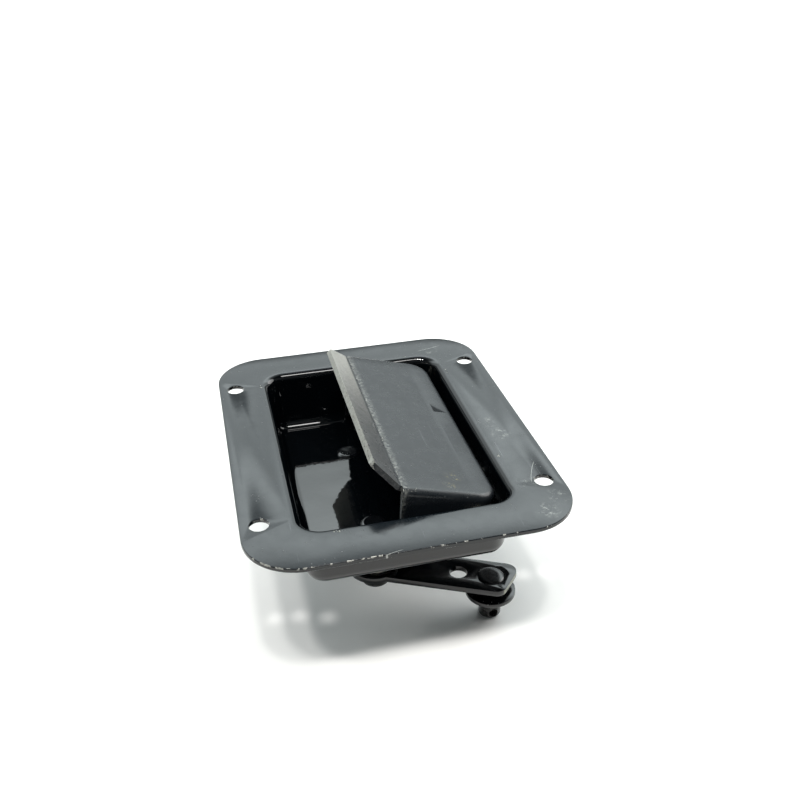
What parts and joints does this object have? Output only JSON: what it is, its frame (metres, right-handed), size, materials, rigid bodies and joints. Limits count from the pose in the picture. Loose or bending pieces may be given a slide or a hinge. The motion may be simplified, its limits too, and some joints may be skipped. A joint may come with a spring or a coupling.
{
  "type": "recessed paddle handle latch",
  "caption": "Recessed paddle handle latch for a panel door: a drawn pan with a sprung paddle that swings a lever arm with a cross-drilled rod pin.",
  "frame": {"origin": "centre of the four mounting holes on the flange's back face", "axes": "+Z out of the door through the paddle side, +Y along the flange's long side, +X towards the paddle's hinge"},
  "size_m": [0.108, 0.14, 0.0719],
  "materials": {
    "pan_paint": "gloss black paint over pressed steel, worn at the edges",
    "paddle_paint": "satin black paint, rubbed to grey on the lip",
    "arm_paint": "gloss black paint, thin on the sheared edges",
    "post_paint": "gloss black paint over turned steel",
    "zinc_steel": "zinc plated",
    "spring_steel": "oiled spring wire",
    "nylon": "natural nylon",
    "sintered_bronze": "oil-filled bronze"
  },
  "bodies": {
    "pan": {"mounting_pan": "pan_paint", "pivot_post": "post_paint", "spring_post": "post_paint", "hinge_pin": "zinc_steel", "hinge_pin_clip": "spring_steel", "hinge_washers": "nylon", "thrust_washer_upper": "zinc_steel", "thrust_washer_lower": "zinc_steel", "pivot_collar": "arm_paint"},
    "paddle": {"paddle_handle": "paddle_paint", "drive_finger": "paddle_paint", "hinge_sleeve_near": "nylon", "hinge_sleeve_far": "nylon", "paddle_spring_near": "spring_steel", "paddle_spring_far": "spring_steel"},
    "arm": {"actuator_arm": "arm_paint", "arm_bushing": "sintered_bronze", "arm_return_spring": "spring_steel", "rod_pin": "arm_paint", "rod_pin_washer": "arm_paint"}
  },
  "joints": [
    {"name": "paddle_hinge", "type": "hinge", "parent": "pan", "child": "paddle", "pos_m": [0.023, 0, -0.0065], "axis": [0, 1, 0], "range_deg": [0, 36], "stiffness_Nm_per_rad": 0.35, "springref_deg": -28.65, "deforming": ["paddle_spring_near", "paddle_spring_far"]},
    {"name": "arm_pivot", "type": "hinge", "parent": "pan", "child": "arm", "pos_m": [-0.007, -0.024, -0.04005], "axis": [0, 0, 1], "range_deg": [0, 28.3], "stiffness_Nm_per_rad": 0.12, "springref_deg": -22.92, "deforming": ["arm_return_spring"]}
  ],
  "couplings": [
    {"joint": "arm_pivot", "follows": "paddle_hinge", "ratio": 0.785}
  ]
}
